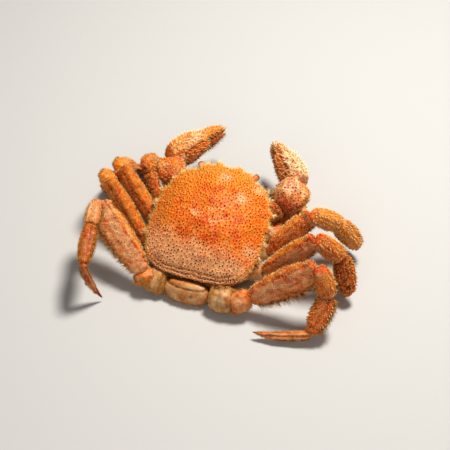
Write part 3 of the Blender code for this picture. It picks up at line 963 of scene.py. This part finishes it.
# Distance between the thorax's ribs.
RIB_GAP = 4.0 * MM
belly_skins = {}
for node, grain in BELLY_GRAINS.items():
    piece = skin_of(node, grain * MM, 8)
    places = places_of(piece.data)
    relief = 0.4 * lumps(places, 7.0) + 0.2 * lumps(places, 2.0)
    if node == "thorax":
        # Ribs follow the shell's rim along the body's sides and back.
        relief += 0.5 * np.cos(2.0 * pi * places[:, 2] / RIB_GAP)
        relief *= smooth_step(0.4 * MM, 1.5 * MM, places[:, 2])
    edge = 0.5
    if node == "abdomen":
        relief += 1.2
        across = np.abs(places[:, 0] - places[:, 0].mean()) / np.ptp(places[:, 0]) * 2.0
        height = places[:, 2] / places[:, 2].max()
        # The flap's last ring shows as a strip at its top, with a furrow below.
        fold = bell(height + 0.06 * across ** 2, 0.87, 0.035)
        relief -= 0.6 * fold
        # A brown spot lies to the right of its middle.
        side = (places[:, 0] - places[:, 0].min()) / np.ptp(places[:, 0])
        spot = bell(side, 0.66, 0.04) * bell(height, 0.62, 0.08)
        edge = smooth_step(0.75, 1.0, across) * 0.7 + 0.6 * fold + 0.9 * spot
        # A lighter band across the flap's middle is partly its paler colour and partly a
        # painted sheen.
        edge = edge - 0.3 * bell(height, 0.55, 0.25)
    raise_skin(piece, relief)
    mottle = lumps(places, 6.0)
    paint(
        piece.data, 0.3 + 0.4 * lumps(places, 4.0, 2.0),
        0.4 + 0.8 * mottle - 0.4 * edge, 0.3 + 0.6 * lumps(places, 5.0, 3.0),
        0.4 * lumps(places, 5.0, 7.0) + edge)
    finish_skin(piece, node, belly_look)
    belly_skins[node] = piece

# The eyestalks' root between the eyes, and how pale each stalk is: the left stalk is
# painted paler than the right as a painted highlight.
EYE_ROOT = np.array((0.0, 20.0, 40.0)) * MM
EYE_PALENESS_WITH_PAINTED_HIGHLIGHT = {"left": 1.0, "right": 0.3}
for side in ("left", "right"):
    piece = skin_of("eye_" + side, 0.4 * MM, 3)
    places = places_of(piece.data)
    axes = own_axes(places, EYE_ROOT, UPPER_EDGE)
    share, _, _ = joint_shares(places, axes)
    cornea = smooth_step(0.8, 0.88, share)
    paint(piece.data, 0.5 - cornea, EYE_PALENESS_WITH_PAINTED_HIGHLIGHT[side] - 0.5 * cornea,
          0.3 + 0.4 * cornea, 0.8 * cornea)
    finish_skin(piece, "eye_" + side, limb_look)


# ---------------- shell cover

warts, bristles, spines, hairs = [], [], [], []


# Height above the rim's plane, in millimetres, where the shell's top begins.
TOP_START = 0.4


def on_shell_rear(places):
    across, along, above = shell_plane(places)
    return (above > TOP_START) & (rear_fade(across, along) > 0.5)


def on_shell_front(places):
    across, along, above = shell_plane(places)
    return (above > TOP_START) & (rear_fade(across, along) <= 0.5)


def on_shell_side(places):
    _, along, above = shell_plane(places)
    return (above < 3.0) * (above > -9.0) * smooth_step(-50.0, -38.0, along)


# Lots of shell warts: where, spacing and radius in millimetres, and the number
# and length in millimetres of the bristles round each.
SHELL_COVER = (
    (on_shell_front, 2.2, 0.58, 7, 1.45), (on_shell_rear, 2.3, 0.6, 7, 1.0))
# Bristles all lean a little forwards, as they are combed.
COMBED = np.array((0.0, 0.25, 0.1))
SIDE_COMBED = np.array((0.0, 0.2, 0.0))

# Warts stand in uneven rows, finer in front and larger at the rear, each with
# a ring of bristles that hides the skin between them.
for chance, spacing, radius, ring, length in SHELL_COVER:
    places, leans = scatter(shell_skin, spacing * MM, chance)
    across, along, _ = shell_plane(places)
    uneven = radius * (0.65 + 0.6 * draws.random(len(places)))
    fade = rear_fade(across, along)
    warts.append(lot(
        places + leans * 0.2 * MM, leans, uneven, radius * 1.3, 0.3, 0.42 - 0.06 * fade))
    # Bristles are whiter in pale places and grooves, and shorter on red ones.
    white = 1.3 * nearness(across, along, SHELL_PALE_PLACES) + 0.9 * fade
    for run, _, _ in SHELL_GROOVES[:3]:
        white += bell(run_distance(across, along, run), 0.0, 1.6)
    reddish = nearness(across, along, SHELL_BLOTCHES)
    white -= reddish
    ring_size = np.repeat(length * (1.0 - 0.45 * reddish), ring)
    feet, ways = tufts(places, leans, ring, 0.95 * MM, 0.7, 0.3)
    bristles.append(lot(
        feet, unit(ways + COMBED), 0.24, ring_size, 0.7, np.repeat(white, ring)))

# Longer bristles stand all along the shell's edge.
places, leans = scatter(shell_skin, 0.95 * MM, on_shell_side, even=False)
ways = unit(leans + 0.35 * draws.normal(0.0, 1.0, leans.shape) + SIDE_COMBED)
bristles.append(lot(places, ways, 0.2, 2.9, 0.9, 0.25))

# Stars of pale spines on the teeth of the shell's edge.
STAR_SPINES = 16
verts = places_of(shell_skin.data)
across, along, _ = shell_plane(verts)
around = np.degrees(np.arctan2(across, along))
outness = np.hypot(across, along)
for angle in TOOTH_ANGLES:
    for sign in (-1.0, 1.0):
        near = np.abs(around - sign * angle) < 3.5
        index = np.nonzero(near)[0][np.argmax(outness[near])]
        places = np.repeat(verts[index:index + 1], STAR_SPINES, 0)
        out = np.array((across[index], along[index] * 0.97, 9.0)) / outness[index]
        ways = unit(out + draws.normal(0.0, 0.45, places.shape))
        places = places + draws.normal(0.0, 0.8 * MM, places.shape) - out * 0.4 * MM
        spines.append(lot(places, ways, 0.5, 3.0, 0.7, 0.9))

# ---------------- limb cover

# Rows of spines on each kind of joint: angles round it, spacing, radius and
# length in millimetres.
SPINE_ROWS = {
    "merus": ((-16, -4, 10), 2.6, 0.5, 1.2),
    "carpus": ((-70, -38, -8, 22, 52, 82, 112, 142, 172, 202), 2.35, 0.84, 1.8),
    "propodus": ((-52, -26, -4, 20, 46, 74, 108, 136, 162, 188), 2.35, 0.8, 1.75),
    "palm": ((-75, -50, -30, -14, 2, 18, 36, 58, 84, 110, 136), 2.7, 0.9, 2.3),
    "finger": ((-60, -30, 0, 30, 60), 2.5, 0.5, 1.3),
    "arm": ((-20, 10, 40), 3.0, 0.5, 1.4),
}
# Length in millimetres of the fringe on limbs' lower edges.
FRINGES = {
    "merus": 2.6, "propodus": 2.4, "carpus": 2.0, "dactylus": 1.8, "ischium": 2.2,
    "coxa": 1.8, "arm": 2.4, "palm": 2.2, "finger": 1.6,
    "leg_right_4_merus": 6.2, "leg_left_4_merus": 4.4, "leg_right_4_propodus": 4.2,
    "leg_right_4_ischium": 4.2, "leg_left_4_ischium": 3.4, "claw_left_finger": 3.6,
}
# How far spines and hairs lean along their limb.
ALONG_SHARE = 0.45
# Joints with smooth faces.
SMOOTH_FACES = (
    "leg_right_4_propodus", "leg_right_3_propodus", "leg_left_4_propodus",
    "leg_right_4_carpus", "claw_right_carpus")
# Limbs whose spines are smaller than the rest, and limbs with golden bristles.
SPINE_SHARE = {
    "leg_left_1": 0.55, "leg_left_2": 0.55, "leg_left_3": 0.55, "leg_left_4": 0.6}
GOLDEN_LIMBS = ("leg_right_1", "leg_right_2")
# Kinds of joint with small, sparse warts.
PLAIN_KINDS = ("coxa", "ischium", "dactylus", "finger")
# Rows of fringe hairs: angles round the joint, share of the fringe's length and
# hairs in each tuft.  They are long below and shorter above.
FRINGE_ROWS = (((168, 180, 192), 1.0, 4), ((-8, 8), 0.55, 2))


def rough_part(kind, share, end, *entries):
    """The entries up to the share end of a joint whose tip is smooth horn."""
    if kind not in ("palm", "finger"):
        return entries
    return tuple(entry[share < end] for entry in entries)


for node, (piece, kind, axes) in limb_skins.items():
    long_axis = axes[1]
    pale = JOINT_TONES.get(node, JOINT_TONES[kind])[1]
    plain = kind in PLAIN_KINDS
    golden = limb_of(node) in GOLDEN_LIMBS
    places, leans = scatter(piece, (3.2 if plain else 2.4) * MM)
    share, across, _ = joint_shares(places, axes)
    wart_radius = 0.26 if plain else 0.36 if kind == "merus" else 0.48
    wart_radius += 0.16 * is_wrist(node)
    uneven = wart_radius * (0.6 + 0.7 * draws.random(len(places)))
    uneven *= 1.0 + 0.5 * np.clip(patch_share(node, share, across), 0.0, 1.0)
    places, leans, uneven = rough_part(kind, share, 0.87, places, leans, uneven)
    shade = 0.25 if "claw" in node else 0.45
    warts.append(lot(places, leans, uneven, 0.45, 0.3, shade))
    number = 3 if plain else 8 if golden or kind == "merus" else 5
    feet, ways = tufts(places, leans, number, 0.7 * MM, 0.6, 0.35)
    share, across, _ = joint_shares(feet, axes)
    shade = 0.25 + 0.4 * pale + 0.6 * patch_share(node, share, across) + 0.25 * golden
    bristles.append(lot(
        feet, unit(ways + ALONG_SHARE * long_axis), 0.19, 1.4, 0.7, shade))

    if kind in SPINE_ROWS:
        angles, spacing, radius, length = SPINE_ROWS[kind]
        small = SPINE_SHARE.get(limb_of(node), 1.0)
        places, leans = surface_rows(piece, axes, angles, spacing * MM)
        share, across, _ = joint_shares(places, axes)
        places, leans, share, across = rough_part(
            kind, share, 0.9, places, leans, share, across)
        shade = 0.15 + 0.4 * pale + 0.6 * patch_share(node, share, across)
        shade += 0.3 * golden
        # On palms the outer spines are larger and cream, and on smooth-faced
        # joints they are strong only along the edges.
        size = 1.0
        if kind == "palm":
            outer = smooth_step(0.3, 0.8, across)
            shade += 0.5 * outer
            size = 0.85 + 0.4 * outer
        if node in SMOOTH_FACES:
            size = 0.45 + 0.65 * smooth_step(0.45, 0.85, np.abs(across))
        size = size * small
        ways = unit(leans + ALONG_SHARE * long_axis)
        spines.append(lot(places, ways, radius * size, length * size, 0.5, shade))
    reach = FRINGES.get(node, FRINGES[kind])
    for angles, part, strands in FRINGE_ROWS:
        places, leans = surface_rows(piece, axes, angles, 1.5 * MM)
        feet, ways = tufts(places, leans, strands, 0.3 * MM, 0.22, 0.12)
        ways = unit(ways + ALONG_SHARE * long_axis)
        shade = 0.0 if kind in ("coxa", "ischium") else None
        hairs.append(lot(feet, ways, 0.19, reach * part, 0.7, shade))

# Length in millimetres of the down on the lower half of the belly's pieces.
BELLY_DOWN = {"abdomen": 2.4, "thorax": 1.3}
down = []
for node, reach in BELLY_DOWN.items():
    places, leans = scatter(belly_skins[node], 1.1 * MM, even=False)
    low = places[:, 2] < places[:, 2].mean()
    places, leans = places[low], leans[low]
    ways = unit(leans + draws.normal(0.0, 0.35, leans.shape))
    down.append(lot(places, ways, 0.13, reach, 0.8, 0.1))

# The right claw's wrist has strong spines on its inner corner.
piece, _, axes = limb_skins["claw_right_carpus"]
places, leans = surface_rows(piece, axes, (145, 165), 40.0 * MM, 0.82, 0.86)
spines.append(lot(places[:3], leans[:3], 1.3, 6.0, 0.3, 0.6))

join_copies("warts", wart_shape, warts, wart_look)
join_copies("bristles", bristle_shape, bristles, bristle_look)
join_copies("spines", spine_shape, spines, spine_look)
join_copies("fringe_hairs", hair_shape, hairs, fringe_look, bend=0.25)
join_copies("belly_down", bristle_shape, down, fringe_look)

# ---------------- stage

FLOOR_DROP = 0.2 * MM
bpy.ops.mesh.primitive_plane_add(size=4.0, location=(0.0, 0.0, -FLOOR_DROP))
floor = bpy.context.object
floor.name = "floor"
# A matt pale grey sheet that lets the shell's colours stand out.
floor_material, _, shader, _ = new_material("pale_floor", 0.7)
shader.inputs["Base Color"].default_value = colour("CCCBC9")
floor.data.materials.append(floor_material)


def add_light(name, place, aim, size, power, tint):
    light = bpy.data.lights.new(name, "AREA")
    light.shape = "DISK"
    light.size = size
    light.energy = power
    light.color = tint
    lamp = bpy.data.objects.new(name, light)
    scene.collection.objects.link(lamp)
    lamp.location = place
    lamp.rotation_euler = (Vector(aim) - Vector(place)).to_track_quat("-Z", "Y").to_euler()


CRAB_MIDDLE = (0.0, 0.0, 0.03)
add_light("key", (0.2, 0.35, 1.0), CRAB_MIDDLE, 0.26, 12.0, (1.0, 0.97, 0.92))
add_light("fill", (0.1, -0.8, 0.6), CRAB_MIDDLE, 0.8, 1.8, (1.0, 0.98, 0.95))

world = bpy.data.worlds.new("studio")
scene.world = world
world.use_nodes = True
backdrop = world.node_tree.nodes["Background"]
backdrop.inputs["Color"].default_value = (1.0, 0.98, 0.95, 1.0)
backdrop.inputs["Strength"].default_value = 0.145

CAMERA_HEADING = radians(18.0)
CAMERA_RISE = radians(50.0)
CAMERA_REACH = 0.85
CAMERA_TARGET = Vector((12.0, 3.7, 33.0)) * MM
camera_data = bpy.data.cameras.new("camera")
camera_data.lens = 87.2
camera_data.sensor_width = 36.0
camera_data.clip_start = 0.05
camera = bpy.data.objects.new("camera", camera_data)
scene.collection.objects.link(camera)
back = Vector((
    sin(CAMERA_HEADING) * cos(CAMERA_RISE), -cos(CAMERA_HEADING) * cos(CAMERA_RISE),
    sin(CAMERA_RISE)))
camera.location = CAMERA_TARGET + back * CAMERA_REACH
camera.rotation_euler = (-back).to_track_quat("-Z", "Y").to_euler()
scene.camera = camera
scene.view_settings.view_transform = "Standard"
scene.view_settings.look = "Medium High Contrast"
